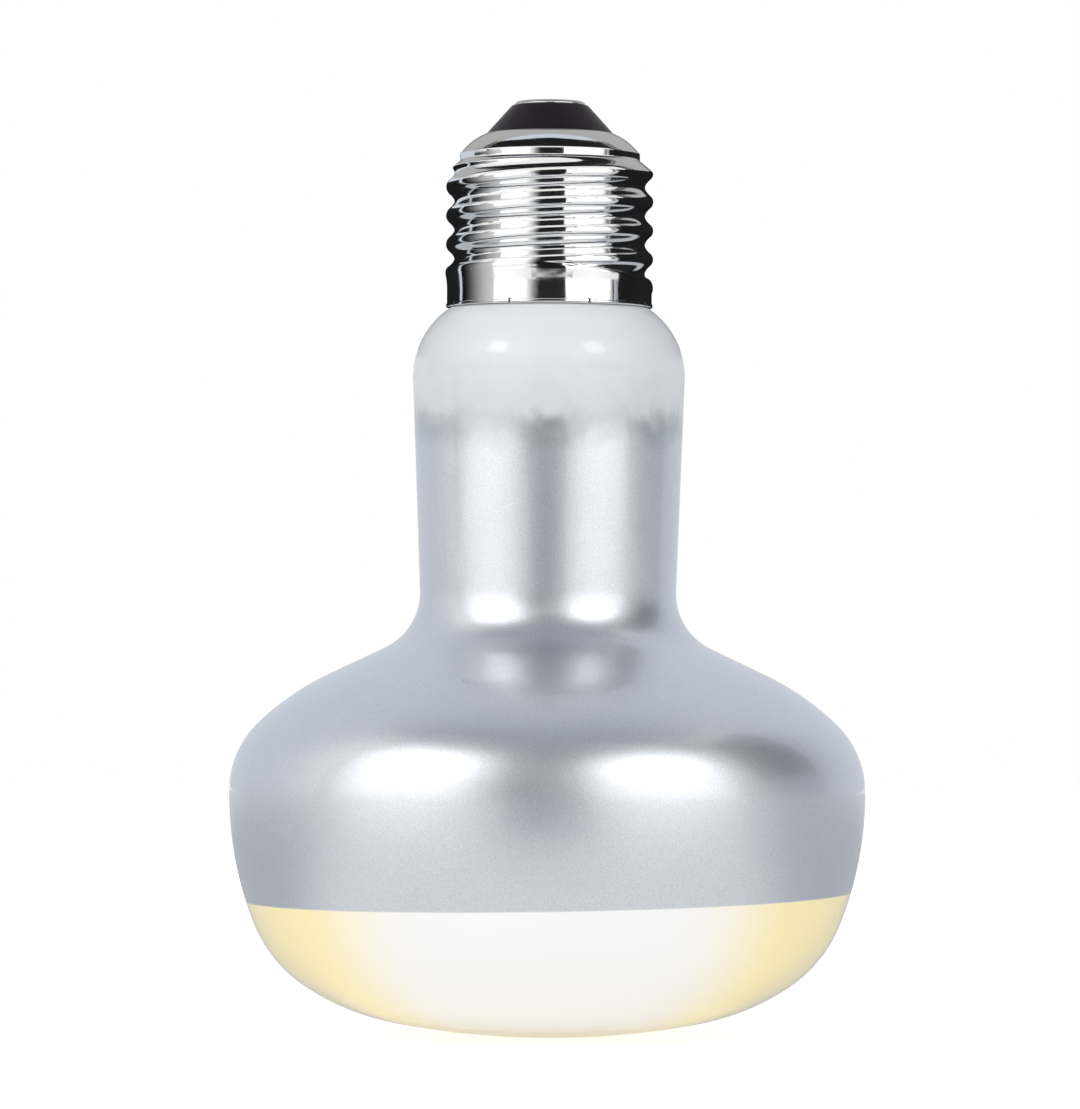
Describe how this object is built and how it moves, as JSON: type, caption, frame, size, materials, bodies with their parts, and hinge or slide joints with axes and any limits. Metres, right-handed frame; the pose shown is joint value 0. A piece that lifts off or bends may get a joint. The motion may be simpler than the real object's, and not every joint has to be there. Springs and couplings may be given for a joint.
{
  "type": "heat lamp bulb",
  "caption": "Reflector heat lamp bulb with a silvered neck and shoulder, a rounded pale face and a threaded screw cap, standing on its face.",
  "frame": {"origin": "centre of the centre contact's face, at the end of the cap", "axes": "+Z along the lamp's axis, out of the cap; the lamp stands on its face with the cap up"},
  "size_m": [0.08, 0.08, 0.1176],
  "materials": {
    "bulb_glass": "frosted glass silvered inside, with a clear-lacquered milky neck top and a pale lit face",
    "cap_plating": "bright nickel plating",
    "black_glass": "opaque black glass, satin",
    "contact_metal": "bright pressed metal",
    "solder": "dull solder",
    "cement": "matte cement",
    "lead_wire": "drawn copper wire"
  },
  "bodies": {
    "root": {"glass_bulb": "bulb_glass", "screw_shell": "cap_plating", "cap_insulator": "black_glass", "centre_contact": "contact_metal", "contact_solder": "solder", "basing_cement": "cement", "centre_lead": "lead_wire", "side_lead": "lead_wire", "side_solder": "solder"}
  },
  "joints": []
}
